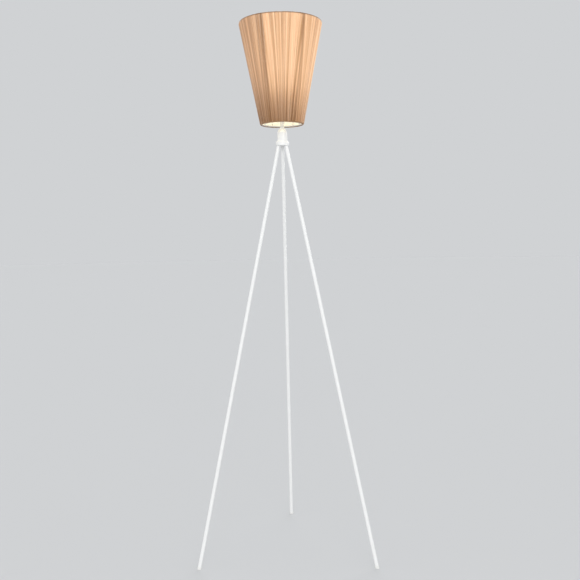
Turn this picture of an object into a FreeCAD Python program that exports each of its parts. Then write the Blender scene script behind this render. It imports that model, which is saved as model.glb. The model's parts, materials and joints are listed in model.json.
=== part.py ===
import FreeCAD, Part
import math
import os
import re
import Sketcher

# A floor lamp on three slim steel legs that meet in a small turned hub. A threaded pipe
# rises from the hub to a screw-base lampholder, whose two shade rings clamp a conical
# thread-wound shade with its narrow end down.
#
# Millimetres, +Z up, floor at z = 0. The rear leg points to +Y and the front legs to
# -Y, left and right. The origin is the middle of the footprint, so the lamp's own
# axis stands a quarter of the foot circle's radius towards -Y.

DIMENSIONS = (
    # Tripod
    ("foot_circle_radius", 281.2, "lamp axis to a leg's centre line at the floor"),
    ("hub_base_height", 1160.5, "floor to the hub's underside"),
    ("leg_inner_gap", 1.2, "cable bush to a leg, at the hub's underside"),
    ("leg_radius", 5, "leg tube, outside"),
    ("leg_wall", 1.2, "leg tube wall"),
    ("leg_seat_depth", 4, "counterbore in the hub that takes the leg's end"),
    ("leg_seat_gap", 0.2, "radial gap round a leg in its counterbore"),
    ("fit_gap", 0.05, "radial gap of threads, plugs and spigots in their holes"),
    ("stud_radius", 3, "threaded stud in a leg's top end"),
    ("stud_reach", 7, "stud length beyond the tube"),
    ("stud_hole_depth", 8, "threaded hole beyond the counterbore"),
    ("stud_end_chamfer", 0.4, "chamfer on the stud's end"),
    ("stud_plug_length", 20, "stud's plug inside the tube"),
    ("glide_radius", 5.6, "foot glide, outside"),
    ("glide_height", 6, "foot glide below the tube's end, along the leg"),
    ("glide_plug_length", 16, "foot glide's plug inside the tube"),
    # Hub and its cover
    ("flange_margin", 1.3, "hub flange beyond the legs"),
    ("flange_rim_height", 8, "straight part of the flange"),
    ("flange_height", 13.5, "flange with the cone above it"),
    ("flange_step", 2, "flange's top edge beyond the hub cover"),
    ("flange_edge_chamfer", 0.8, "lower edge of the flange"),
    ("spigot_height", 19, "hub spigot above the flange, inside the cover"),
    ("cable_bore_radius", 4.6, "cable passage in the hub"),
    ("nipple_seat_height", 19, "hub underside to the pipe's seat"),
    ("neck_radius", 14, "hub cover, outside"),
    ("neck_wall", 1.5, "hub cover wall"),
    ("neck_height", 23.5, "straight part of the hub cover"),
    ("shoulder_height", 10, "cone above the straight part"),
    ("shoulder_top_radius", 8.5, "top of the hub cover"),
    ("shoulder_roof", 1.8, "top of the hub cover, thickness"),
    ("shoulder_rounding", 4, "rounding at the foot of the cone"),
    ("shoulder_edge_rounding", 1, "rounding at the top of the cone"),
    # Cable bush in the hub's underside
    ("bush_bore_radius", 3.3, "cable entry"),
    ("bush_flange_radius", 6, "bush flange"),
    ("bush_flange_thickness", 1.5, "bush flange below the hub"),
    ("bush_length", 12, "bush shank inside the hub"),
    # Threaded pipe, nut, washer and the sleeve over the pipe
    ("nipple_radius", 5, "threaded pipe, outside"),
    ("nipple_bore_radius", 3.5, "threaded pipe, bore"),
    ("nipple_end_chamfer", 0.5, "chamfer on both ends of the pipe"),
    ("nipple_engagement", 8.5, "pipe length inside the lampholder"),
    ("washer_radius", 9.5, "washer under the nut"),
    ("washer_thickness", 1, "washer under the nut"),
    ("nut_width", 14, "hexagon nut across its flats"),
    ("nut_height", 3.5, "hexagon nut"),
    ("sleeve_radius", 6, "sleeve over the pipe, outside"),
    ("sleeve_length", 24.5, "hub cover to lampholder"),
    # Lampholder
    ("holder_collar_radius", 8.5, "foot of the lampholder"),
    ("holder_collar_height", 5, "foot of the lampholder"),
    ("cap_cone_height", 8, "cone of the holder cap"),
    ("cap_rim_height", 5, "straight rim of the holder cap"),
    ("cap_boss_radius", 11, "boss inside the cap"),
    ("cap_boss_height", 9, "top of the boss above the cap's foot"),
    ("holder_wall", 2, "holder cap wall"),
    ("shell_length", 42, "threaded shell above the cap"),
    ("shell_spigot_length", 3.5, "shell spigot inside the cap"),
    ("shell_wall", 3.25, "shell round the insert, to its outer thread's crest"),
    ("shell_ledge", 1, "ledge in the shell that holds the insert down"),
    ("shell_thread_pitch", 2.5, "outer thread"),
    ("shell_thread_depth", 0.9, "outer thread"),
    ("shell_plain_end", 3, "plain band at each end of the outer thread"),
    ("insert_gap", 0.3, "radial gap round the ceramic insert's plate"),
    ("insert_plate_height", 5, "ceramic insert's plate"),
    ("insert_core_radius", 10.5, "ceramic insert's core below the plate"),
    ("insert_bore_radius", 3, "wire hole in the insert"),
    ("terminal_reach", 4.6, "terminal block, outwards"),
    ("terminal_width", 6, "terminal block, across"),
    ("terminal_height", 3.4, "terminal block below the plate"),
    ("terminal_screw_radius", 1.2, "terminal screw"),
    ("terminal_screw_head_radius", 2, "terminal screw head"),
    ("terminal_screw_head_height", 1.4, "terminal screw head"),
    ("terminal_screw_length", 2.8, "terminal screw inside its block"),
    ("grub_screw_radius", 1.5, "grub screw through the holder's collar"),
    ("grub_screw_height", 2.5, "its axis above the holder's foot"),
    ("screw_shell_length", 27, "brass screw shell"),
    ("screw_shell_bore_radius", 13.4, "brass screw shell, crest of the thread"),
    ("screw_shell_wall", 0.5, "brass screw shell"),
    ("screw_shell_thread_depth", 0.7, "brass screw shell"),
    ("screw_shell_gap", 0.9, "radial gap round the brass screw shell"),
    ("screw_shell_flange_bore_radius", 9.5, "hole in the shell's base"),
    ("lamp_thread_pitch", 3.6, "thread of the shell and of the bulb's cap"),
    ("contact_width", 5, "centre contact leaf"),
    ("contact_thickness", 0.5, "centre contact leaf"),
    ("contact_rise", 4.5, "insert to the leaf's top"),
    ("contact_base_end", 8, "lamp axis to the leaf's fixed end"),
    ("contact_base_length", 2.6, "leaf's fixed end"),
    ("contact_tip_length", 3.4, "half length of the leaf's raised part"),
    # Shade rings on the lampholder's outer thread
    ("ring_gap", 0.1, "radial gap of the shade rings on the outer thread"),
    ("ring_collar_wall", 3.65, "shade ring collar"),
    ("ring_collar_height", 5, "shade ring collar"),
    ("ring_flange_width", 3.5, "shade ring flange beyond its collar"),
    ("ring_flange_thickness", 2, "shade ring flange"),
    ("ring_notch_radius", 1.6, "finger notches in the flange"),
    ("ring_notch_count", 18, "finger notches in the flange"),
    ("lower_ring_height", 21, "holder's foot to the lower shade ring"),
    # Shade carrier
    ("fitter_gap", 0.75, "radial gap of the carrier ring on the lampholder"),
    ("fitter_width", 8.5, "carrier ring, from its hole to its rim"),
    ("fitter_thickness", 2, "carrier ring"),
    ("arm_radius", 1.75, "carrier arm wire"),
    ("arm_root_overlap", 1, "arm's root inside the carrier ring"),
    ("arm_run", 7, "carrier ring to the corner of the arm's bend"),
    ("arm_count", 3, "carrier arms"),
    ("arm_bend_radius", 6, "centre line of the arm's bend"),
    # Shade
    ("shade_top_radius", 115.4, "shade, widest"),
    ("shade_bottom_radius", 61.5, "shade, outside at the bottom ring"),
    ("shade_height", 281, "shade"),
    ("shade_drop", 42, "carrier ring down to the shade's lower edge"),
    ("ring_wire_radius", 2, "wire of the top and bottom rings"),
    ("strut_radius", 1.5, "wire of the struts"),
    ("liner_thickness", 0.8, "liner"),
    ("wrap_thickness", 1.2, "layer of wound thread"),
    ("hook_turn", 150, "turn, in degrees, at which the thread leaves each ring"),
    ("glue_bite", 0.1, "rings pressed into the liner"),
    # Bulb
    ("bulb_contact_radius", 4.5, "tip contact"),
    ("bulb_contact_flat_radius", 3, "tip contact, flat face"),
    ("bulb_contact_height", 1.2, "tip contact"),
    ("bulb_cap_lip_width", 1.6, "bulb cap's lip under the insulator"),
    ("insulator_cone_height", 3.3, "insulator outside the cap"),
    ("insulator_gap", 0.5, "radial gap of the insulator in the cap"),
    ("insulator_disc_height", 2, "insulator inside the cap"),
    ("bulb_cap_wall", 0.5, "bulb cap"),
    ("bulb_cap_gap", 0.3, "radial gap of the bulb cap in the screw shell"),
    ("bulb_cap_thread_depth", 1, "bulb cap"),
    ("bulb_cap_height", 22, "bulb cap"),
    ("bulb_cap_lip_height", 3, "bulb cap below its thread"),
    ("bulb_cap_collar_height", 5, "bulb cap above its thread"),
    ("bulb_radius", 18.5, "bulb, widest"),
    ("housing_wall", 1.5, "bulb housing"),
    ("housing_throat_gap", 1.1, "radial gap of the bulb housing in the holder's mouth"),
    ("housing_foot_taper", 1, "bulb housing, narrower on the cap than at the mouth"),
    ("housing_throat_height", 8, "bulb housing inside the holder's mouth"),
    ("housing_flare_height", 13, "bulb housing's flare"),
    ("housing_rim_height", 4, "bulb housing's straight rim"),
    ("housing_plug_height", 4, "bulb housing inside the cap"),
    ("board_thickness", 1.5, "disc that carries the light sources"),
    ("board_seat_depth", 3, "its seat below the housing's rim"),
    ("led_size", 3, "light source, square"),
    ("led_thickness", 0.8, "light source"),
    ("led_circle_radius", 10.5, "circle of light sources"),
    ("led_count", 10, "light sources on the circle"),
    ("driver_board_gap", 2.05, "driver circuit board to the housing, each side"),
    ("driver_board_thickness", 1.2, "driver circuit board"),
    ("capacitor_radius", 3.2, "driver capacitor"),
    ("capacitor_length", 11, "driver capacitor"),
    ("coil_size", 7, "driver transformer, width and height"),
    ("coil_depth", 5.5, "driver transformer, off the board"),
    ("component_height", 14, "driver components above the board's foot"),
    ("globe_wall", 1, "opal globe"),
    ("globe_straight_height", 7, "globe below its taper"),
    ("globe_taper_height", 50, "globe's taper"),
    ("globe_taper_radius", 84, "curve of the taper"),
    ("globe_tip_radius", 2.5, "flat at the globe's tip"),
    ("globe_tip_rounding", 2, "rounding of the globe's tip"),
    ("globe_lip_height", 1.3, "globe's lip inside the housing"),
)

AXIS_Y = "-foot_circle_radius / 4"
LEG_TOP = "(bush_flange_radius + leg_inner_gap + leg_radius)"
FLANGE = f"({LEG_TOP} + leg_radius + flange_margin)"
LEAN = f"atan((foot_circle_radius - {LEG_TOP}) / hub_base_height)"
LEG_LINE = f"hub_base_height / cos({LEAN})"
LEG_AZIMUTHS = {"front_left": 210, "front_right": 330, "rear": 90}

# Levels above the floor, from the hub up to the shade.
NECK_BASE = "hub_base_height + flange_height"
HUB_TOP = f"{NECK_BASE} + spigot_height"
SLEEVE_BASE = f"{NECK_BASE} + neck_height + shoulder_height"
HOLDER_BASE = f"{SLEEVE_BASE} + sleeve_length"
CAP_TOP = "holder_collar_height + cap_cone_height + cap_rim_height"
LOWER_RING_BASE = f"{HOLDER_BASE} + lower_ring_height"
FITTER_BASE = f"{LOWER_RING_BASE} + ring_collar_height + ring_flange_thickness"
UPPER_RING_BASE = f"{FITTER_BASE} + fitter_thickness"
FITTER_MIDDLE = f"{FITTER_BASE} + fitter_thickness / 2"
SHADE_BASE = f"{FITTER_MIDDLE} - shade_drop"
BULB_BASE = f"{HOLDER_BASE} + {CAP_TOP} + insert_plate_height + contact_rise"

# Radii that fit round the brass screw shell, outwards to the shade carrier.
SCREW_SHELL = "(screw_shell_bore_radius + screw_shell_wall)"
SHELL_BORE = f"({SCREW_SHELL} + screw_shell_thread_depth + screw_shell_gap)"
SHELL_LOWER_BORE = f"({SHELL_BORE} + shell_ledge)"
HOLDER = f"({SHELL_LOWER_BORE} + shell_wall)"
RING_BORE = f"({HOLDER} + ring_gap)"
RING_COLLAR = f"({RING_BORE} + ring_collar_wall)"
RING_FLANGE = f"({RING_COLLAR} + ring_flange_width)"
FITTER_BORE = f"({HOLDER} + fitter_gap)"
FITTER_RIM = f"({FITTER_BORE} + fitter_width)"
ARM_CORNER = f"({FITTER_RIM} + arm_run)"

# Radii of the bulb that fit inside the screw shell and the holder's mouth.
CAP_CREST = "(screw_shell_bore_radius - bulb_cap_gap)"
CAP_ROOT = f"({CAP_CREST} - bulb_cap_thread_depth)"
INSULATOR_DISC = f"({CAP_ROOT} - bulb_cap_wall - insulator_gap)"
INSULATOR_CONE = f"({INSULATOR_DISC} - bulb_cap_lip_width)"
THROAT = f"({SHELL_BORE} - housing_throat_gap)"
HOUSING_FOOT = f"({THROAT} - housing_foot_taper)"
PLUG = f"({CAP_ROOT} - fit_gap)"

# A thread's ridge in its section: its four corners, as shares of the pitch.
RIDGE_CORNERS = (0.2, 0.4, 0.6, 0.8)

# The shade's wall is a belt of liner and thread drawn over the two wire rings.
LINER_INSIDE = "(ring_wire_radius - glue_bite)"
LINER_OUTSIDE = f"({LINER_INSIDE} + liner_thickness)"
WRAP_OUTSIDE = f"({LINER_OUTSIDE} + wrap_thickness)"
BOTTOM_RING = f"(shade_bottom_radius - {WRAP_OUTSIDE})"
BOTTOM_RING_LEVEL = WRAP_OUTSIDE
TOP_RING = f"(shade_top_radius - {WRAP_OUTSIDE})"
TOP_RING_LEVEL = f"(shade_height - {WRAP_OUTSIDE})"
SHADE_FLARE = f"atan(({TOP_RING} - {BOTTOM_RING}) / ({TOP_RING_LEVEL} - {BOTTOM_RING_LEVEL}))"
HOOK_END = "(hook_turn * 1 deg)"
STRUT_AZIMUTHS = range(0, 360, 60)

# Levels in the bulb, above the tip of its contact.
CAP_FOOT = "(bulb_contact_height + insulator_cone_height - bulb_cap_wall)"
CAP_RIM = f"({CAP_FOOT} + bulb_cap_height)"
THROAT_TOP = f"({CAP_RIM} + housing_throat_height)"
HOUSING_TOP = f"({THROAT_TOP} + housing_flare_height + housing_rim_height)"
BOARD_SEAT = f"({HOUSING_TOP} - board_seat_depth)"

document = FreeCAD.newDocument("tripod_floor_lamp")
sheet = document.addObject("Spreadsheet::Sheet", "Dims")
sub_parts = []


def fill_sheet():
    """One row for each driving dimension: its meaning and its value, named by an alias."""
    for row, (alias, size, meaning) in enumerate(DIMENSIONS, start=1):
        sheet.set(f"A{row}", meaning)
        sheet.set(f"B{row}", str(size))
        sheet.setAlias(f"B{row}", alias)
    document.recompute()


def bound(expression):
    """The expression with each size looked up in the sheet. Every alias has an underscore."""
    return re.sub(r"\b([a-z]+_[a-z_]+)\b", r"Dims.\1", str(expression))


def value(expression):
    result = sheet.evalExpression(bound(expression))
    return float(getattr(result, "Value", result))


def keep(feature, label):
    """Name a finished sub-part. Its label names its file."""
    feature.Label = label
    sub_parts.append(feature)
    return feature


def primitive(kind, name, placement, **sizes):
    feature = document.addObject(kind, name)
    for size, expression in sizes.items():
        feature.setExpression(size, bound(expression))
    feature.setExpression("Placement", bound(placement))
    return feature


def group(label, pieces):
    """Several like solids in one sub-part."""
    compound = document.addObject("Part::Compound", label)
    compound.Links = pieces
    return keep(compound, label)


def cut(label, base, tool):
    feature = document.addObject("Part::Cut", label)
    feature.Base = base
    feature.Tool = tool
    return feature


def on_axis(level, turn="0"):
    """Placement on the lamp's axis, at a level above the floor."""
    return f"placement(vector(0; {AXIS_Y}; {level}); rotation({turn}; 0; 0))"


def on_leg(azimuth, distance="0"):
    """Placement on a leg's centre line, a distance up from the floor, with +Z up the leg."""
    reach = f"(foot_circle_radius - ({distance}) * sin({LEAN}))"
    across = f"{reach} * cos({azimuth})"
    along = f"{reach} * sin({azimuth}) + {AXIS_Y}"
    level = f"({distance}) * cos({LEAN})"
    return f"placement(vector({across}; {along}; {level}); rotation({azimuth}; -{LEAN}; 0))"


def new_body(name, placement):
    body = document.addObject("PartDesign::Body", name)
    body.setExpression("Placement", bound(placement))
    return body


def new_sketch(body, name, role):
    sketch = body.newObject("Sketcher::SketchObject", name)
    plane = next(item for item in body.Origin.OriginFeatures if item.Role == role)
    sketch.AttachmentSupport = (plane, [""])
    sketch.MapMode = "FlatFace"
    return sketch


def curved_edge(start, end, radius):
    """Arc from start to end. A positive radius turns left on the way, a negative one right."""
    chord = end.sub(start)
    rise = math.sqrt(max(radius * radius - chord.Length ** 2 / 4, 0))
    left = FreeCAD.Vector(-chord.y, chord.x, 0).normalize()
    side = 1 if radius > 0 else -1
    centre = start.add(end).multiply(0.5).add(left.multiply(rise * side))
    first, last = (start, end) if radius > 0 else (end, start)
    angles = [math.atan2(point.y - centre.y, point.x - centre.x) for point in (first, last)]
    circle = Part.Circle(centre, FreeCAD.Vector(0, 0, 1), abs(radius))
    return Part.ArcOfCircle(circle, angles[0], angles[1])


def draw_outline(sketch, corners, closed=True):
    """Join corners (x, y) by lines, or by an arc where a corner has a radius as well."""
    points = [FreeCAD.Vector(value(corner[0]), value(corner[1]), 0) for corner in corners]
    count = len(corners)
    spans = count if closed else count - 1
    ends = []
    for index in range(spans):
        after = (index + 1) % count
        bend = corners[after][2:]
        if not bend:
            sketch.addGeometry(Part.LineSegment(points[index], points[after]))
            ends.append((1, 2))
            continue
        radius = value(bend[0])
        edge = sketch.addGeometry(curved_edge(points[index], points[after], radius))
        ends.append((1, 2) if radius > 0 else (2, 1))
        rule = sketch.addConstraint(Sketcher.Constraint("Radius", edge, abs(radius)))
        sketch.setExpression(f"Constraints[{rule}]", bound(f"abs({bend[0]})"))
    for index in range(spans if closed else spans - 1):
        after = (index + 1) % spans
        meeting = Sketcher.Constraint("Coincident", index, ends[index][1], after, ends[after][0])
        sketch.addConstraint(meeting)
    places = [(index, ends[index][0]) for index in range(spans)]
    if not closed:
        places.append((spans - 1, ends[-1][1]))
    for (edge, end), corner, point in zip(places, corners, points):
        for direction, expression, size in (("X", corner[0], point.x), ("Y", corner[1], point.y)):
            distance = Sketcher.Constraint("Distance" + direction, -1, 1, edge, end, size)
            rule = sketch.addConstraint(distance)
            sketch.setExpression(f"Constraints[{rule}]", bound(expression))


def draw_circles(sketch, *circles):
    """Circles (x, y, radius) in a sketch."""
    for across, up, radius in circles:
        centre = FreeCAD.Vector(value(across), value(up), 0)
        edge = sketch.addGeometry(Part.Circle(centre, FreeCAD.Vector(0, 0, 1), value(radius)))
        rules = (
            (Sketcher.Constraint("DistanceX", -1, 1, edge, 3, centre.x), across),
            (Sketcher.Constraint("DistanceY", -1, 1, edge, 3, centre.y), up),
            (Sketcher.Constraint("Radius", edge, value(radius)), radius),
        )
        for constraint, expression in rules:
            rule = sketch.addConstraint(constraint)
            sketch.setExpression(f"Constraints[{rule}]", bound(expression))


def turned(name, corners, placement):
    """A body turned about its own +Z axis from a closed outline of (radius, height)."""
    body = new_body(name, placement)
    sketch = new_sketch(body, name + "_profile", "XZ_Plane")
    draw_outline(sketch, corners)
    revolution = body.newObject("PartDesign::Revolution", name + "_turning")
    revolution.Profile = sketch
    revolution.ReferenceAxis = (sketch, ["V_Axis"])
    revolution.Angle = 360
    document.recompute()
    return body


def padded(body, sketch, length, symmetric=False):
    pad = body.newObject("PartDesign::Pad", body.Name + "_pad")
    pad.Profile = sketch
    pad.setExpression("Length", bound(length))
    if symmetric:
        pad.SideType = "Symmetric"
    document.recompute()
    return pad


def rims(feature, radius, height):
    """Names of the circular edges round +Z with this radius at this height."""
    found = []
    for number, edge in enumerate(feature.Shape.Edges, start=1):
        if not isinstance(edge.Curve, Part.Circle):
            continue
        same_size = abs(edge.Curve.Radius - value(radius)) < 1e-3
        same_level = abs(edge.Curve.Center.z - value(height)) < 1e-3
        if same_size and same_level:
            found.append(f"Edge{number}")
    return found


def dress(body, kind, size, *places):
    """Fillet or chamfer the rims at these (radius, height) places."""
    base = body.Tip
    edges = [name for radius, height in places for name in rims(base, radius, height)]
    feature = body.newObject("PartDesign::" + kind, f"{body.Name}_{kind.lower()}")
    feature.Base = (base, edges)
    feature.setExpression("Radius" if kind == "Fillet" else "Size", bound(size))
    document.recompute()


def repeated(body, feature, count):
    """Repeat a feature round the body's +Z axis."""
    axis = next(item for item in body.Origin.OriginFeatures if item.Role == "Z_Axis")
    pattern = body.newObject("PartDesign::PolarPattern", feature.Name + "_pattern")
    pattern.Originals = [feature]
    pattern.Axis = (axis, [""])
    pattern.Angle = 360
    pattern.setExpression("Occurrences", bound(count))
    body.Tip = pattern
    document.recompute()


def ridges(root, crest, base, pitch, count):
    """Outline points of a thread's ridges, going up."""
    points = []
    for turn in range(count):
        for radius, share in zip((root, crest, crest, root), RIDGE_CORNERS):
            points.append((radius, f"{base} + ({turn} + {share}) * {pitch}"))
    return points


def build_tripod():
    """Three legs, each with a threaded stud in its top end and a glide in its foot."""
    plug_radius = "leg_radius - leg_wall - fit_gap"
    bore_radius = "leg_radius - leg_wall"
    tube_length = f"{LEG_LINE} + leg_seat_depth - glide_height"
    for side, azimuth in LEG_AZIMUTHS.items():
        tube = (
            (bore_radius, "0"),
            ("leg_radius", "0"),
            ("leg_radius", tube_length),
            (bore_radius, tube_length),
        )
        keep(turned("leg_" + side, tube, on_leg(azimuth, "glide_height")), "leg_" + side)

        stud = (
            ("0", "-stud_plug_length"),
            (plug_radius, "-stud_plug_length"),
            (plug_radius, "0"),
            ("stud_radius", "0"),
            ("stud_radius", "stud_reach"),
            ("0", "stud_reach"),
        )
        stud_place = on_leg(azimuth, f"{LEG_LINE} + leg_seat_depth")
        stud_body = turned("leg_stud_" + side, stud, stud_place)
        dress(stud_body, "Chamfer", "stud_end_chamfer", ("stud_radius", "stud_reach"))
        keep(stud_body, "leg_stud_" + side)

        below_floor = "-glide_height"
        glide = (
            ("0", below_floor),
            ("glide_radius", below_floor),
            ("glide_radius", "glide_height"),
            (plug_radius, "glide_height"),
            (plug_radius, "glide_height + glide_plug_length"),
            ("0", "glide_height + glide_plug_length"),
        )
        blank = turned("glide_blank_" + side, glide, on_leg(azimuth))
        floor_size = "glide_radius * 4"
        foot_x = f"foot_circle_radius * cos({azimuth}) - {floor_size} / 2"
        foot_y = f"foot_circle_radius * sin({azimuth}) + {AXIS_Y} - {floor_size} / 2"
        corner = f"placement(vector({foot_x}; {foot_y}; -{floor_size}); rotation(0; 0; 0))"
        sizes = {"Length": floor_size, "Width": floor_size, "Height": floor_size}
        floor = primitive("Part::Box", "floor_" + side, corner, **sizes)
        keep(cut("foot_glide_" + side, blank, floor), "foot_glide_" + side)


def build_hub():
    """Turned hub with three leaning leg seats, its cover, and a bush for the cable."""
    spigot_radius = "neck_radius - neck_wall - fit_gap"
    nipple_hole = "nipple_radius + fit_gap"
    hub_height = "flange_height + spigot_height"
    blank = turned("hub_blank", (
        ("cable_bore_radius", "0"),
        (FLANGE, "0"),
        (FLANGE, "flange_rim_height"),
        ("neck_radius + flange_step", "flange_height"),
        (spigot_radius, "flange_height"),
        (spigot_radius, hub_height),
        (nipple_hole, hub_height),
        (nipple_hole, "nipple_seat_height"),
        ("cable_bore_radius", "nipple_seat_height"),
    ), on_axis("hub_base_height"))
    dress(blank, "Chamfer", "flange_edge_chamfer", (FLANGE, "0"))
    drills = []
    for side, azimuth in LEG_AZIMUTHS.items():
        start = f"{LEG_LINE} - leg_radius"
        seat = {"Radius": "leg_radius + leg_seat_gap", "Height": "leg_radius + leg_seat_depth"}
        drills.append(primitive("Part::Cylinder", "seat_" + side, on_leg(azimuth, start), **seat))
        deep = {"Radius": "stud_radius + fit_gap"}
        deep["Height"] = "leg_radius + leg_seat_depth + stud_hole_depth"
        drills.append(primitive("Part::Cylinder", "tap_" + side, on_leg(azimuth, start), **deep))
    all_drills = document.addObject("Part::MultiFuse", "leg_drills")
    all_drills.Shapes = drills
    keep(cut("hub_body", blank, all_drills), "hub_body")

    shoulder_top = "neck_height + shoulder_height"
    under_shoulder = "neck_height + shoulder_height - shoulder_roof"
    cover = turned("hub_neck_cover", (
        ("neck_radius - neck_wall", "0"),
        ("neck_radius", "0"),
        ("neck_radius", "neck_height"),
        ("shoulder_top_radius", shoulder_top),
        (nipple_hole, shoulder_top),
        (nipple_hole, under_shoulder),
        ("shoulder_top_radius - neck_wall", under_shoulder),
        ("neck_radius - neck_wall", "neck_height - neck_wall / 2"),
    ), on_axis(NECK_BASE))
    dress(cover, "Fillet", "shoulder_rounding", ("neck_radius", "neck_height"))
    dress(cover, "Fillet", "shoulder_edge_rounding", ("shoulder_top_radius", shoulder_top))
    keep(cover, "hub_neck_cover")

    shank_radius = "cable_bore_radius - fit_gap"
    bush = turned("hub_cable_bush", (
        ("bush_bore_radius", "-bush_flange_thickness"),
        ("bush_flange_radius", "-bush_flange_thickness"),
        ("bush_flange_radius", "0"),
        (shank_radius, "0"),
        (shank_radius, "bush_length"),
        ("bush_bore_radius", "bush_length"),
    ), on_axis("hub_base_height"))
    flange_edge = ("bush_flange_radius", "-bush_flange_thickness")
    dress(bush, "Fillet", "bush_flange_thickness / 2", flange_edge)
    keep(bush, "hub_cable_bush")


def build_stem():
    """Threaded pipe from hub to lampholder, its washer and nut, and the sleeve over it."""
    hole_radius = "nipple_radius + fit_gap"
    nipple_base = "hub_base_height + nipple_seat_height"
    nipple_length = f"{HOLDER_BASE} + nipple_engagement - ({nipple_base})"
    nipple = turned("stem_nipple", (
        ("nipple_bore_radius", "0"),
        ("nipple_radius", "0"),
        ("nipple_radius", nipple_length),
        ("nipple_bore_radius", nipple_length),
    ), on_axis(nipple_base))
    ends = (("nipple_radius", "0"), ("nipple_radius", nipple_length))
    dress(nipple, "Chamfer", "nipple_end_chamfer", *ends)
    keep(nipple, "stem_nipple")

    keep(turned("nipple_washer", (
        (hole_radius, "0"),
        ("washer_radius", "0"),
        ("washer_radius", "washer_thickness"),
        (hole_radius, "washer_thickness"),
    ), on_axis(HUB_TOP)), "nipple_washer")

    nut_place = on_axis(f"{HUB_TOP} + washer_thickness")
    hexagon = {"Circumradius": "nut_width / 2 / cos(30)", "Height": "nut_height"}
    blank = primitive("Part::Prism", "nut_blank", nut_place, **hexagon)
    blank.Polygon = 6
    tapping = {"Radius": hole_radius, "Height": "nut_height"}
    tapped = primitive("Part::Cylinder", "nut_tapping", nut_place, **tapping)
    keep(cut("nipple_lock_nut", blank, tapped), "nipple_lock_nut")

    keep(turned("stem_sleeve", (
        (hole_radius, "0"),
        ("sleeve_radius", "0"),
        ("sleeve_radius", "sleeve_length"),
        (hole_radius, "sleeve_length"),
    ), on_axis(SLEEVE_BASE)), "stem_sleeve")


def build_holder_cap():
    """Cap of the lampholder, with a grub screw that stops it turning on the pipe."""
    hole_radius = "nipple_radius + fit_gap"
    inside = f"{HOLDER} - holder_wall"
    cone_top = "holder_collar_height + cap_cone_height"
    blank = turned("holder_cap_blank", (
        (hole_radius, "0"),
        ("holder_collar_radius", "0"),
        ("holder_collar_radius", "holder_collar_height"),
        (HOLDER, cone_top),
        (HOLDER, CAP_TOP),
        (inside, CAP_TOP),
        (inside, f"{cone_top} + holder_wall / 2"),
        ("cap_boss_radius", "cap_boss_height"),
        (hole_radius, "cap_boss_height"),
    ), on_axis(HOLDER_BASE))
    dress(blank, "Fillet", "holder_wall", (HOLDER, cone_top))
    screw_level = f"{HOLDER_BASE} + grub_screw_height"
    inner_end = f"{AXIS_Y} + nipple_radius"
    sideways = f"placement(vector(0; {inner_end}; {screw_level}); rotation(0; 0; -90))"
    drill = {"Radius": "grub_screw_radius + fit_gap", "Height": HOLDER}
    drilled = primitive("Part::Cylinder", "grub_screw_hole", sideways, **drill)
    keep(cut("holder_cap", blank, drilled), "holder_cap")

    length = "holder_collar_radius - nipple_radius"
    pin = {"Radius": "grub_screw_radius", "Height": length}
    screw = primitive("Part::Cylinder", "grub_screw_blank", sideways, **pin)
    socket_start = f"{inner_end} + ({length}) / 2"
    socket_place = f"placement(vector(0; {socket_start}; {screw_level}); rotation(0; 0; -90))"
    socket = {"Circumradius": "grub_screw_radius / 2", "Height": "grub_screw_radius * 2"}
    hexagon = primitive("Part::Prism", "grub_screw_socket", socket_place, **socket)
    hexagon.Polygon = 6
    keep(cut("holder_grub_screw", screw, hexagon), "holder_grub_screw")


def build_holder_shell():
    """Outer shell with the coarse thread that the shade rings run on."""
    spigot_radius = f"{HOLDER} - holder_wall - fit_gap"
    root = f"{HOLDER} - shell_thread_depth"
    threaded = "shell_length - 2 * shell_plain_end"
    turns = int(value(f"({threaded}) / shell_thread_pitch"))
    outline = [
        (SHELL_LOWER_BORE, "-shell_spigot_length"),
        (spigot_radius, "-shell_spigot_length"),
        (spigot_radius, "0"),
        (HOLDER, "0"),
        (HOLDER, "shell_plain_end"),
        (root, "shell_plain_end + shell_thread_depth / 2"),
    ]
    thread_base = "shell_plain_end + shell_thread_depth / 2"
    outline += ridges(root, HOLDER, thread_base, "shell_thread_pitch", turns)
    outline += [
        (HOLDER, f"shell_plain_end + shell_thread_depth + {turns} * shell_thread_pitch"),
        (HOLDER, "shell_length"),
        (SHELL_BORE, "shell_length"),
        (SHELL_BORE, "insert_plate_height"),
        (SHELL_LOWER_BORE, "insert_plate_height"),
    ]
    place = on_axis(f"{HOLDER_BASE} + {CAP_TOP}")
    keep(turned("holder_shell", outline, place), "holder_shell")


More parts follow.
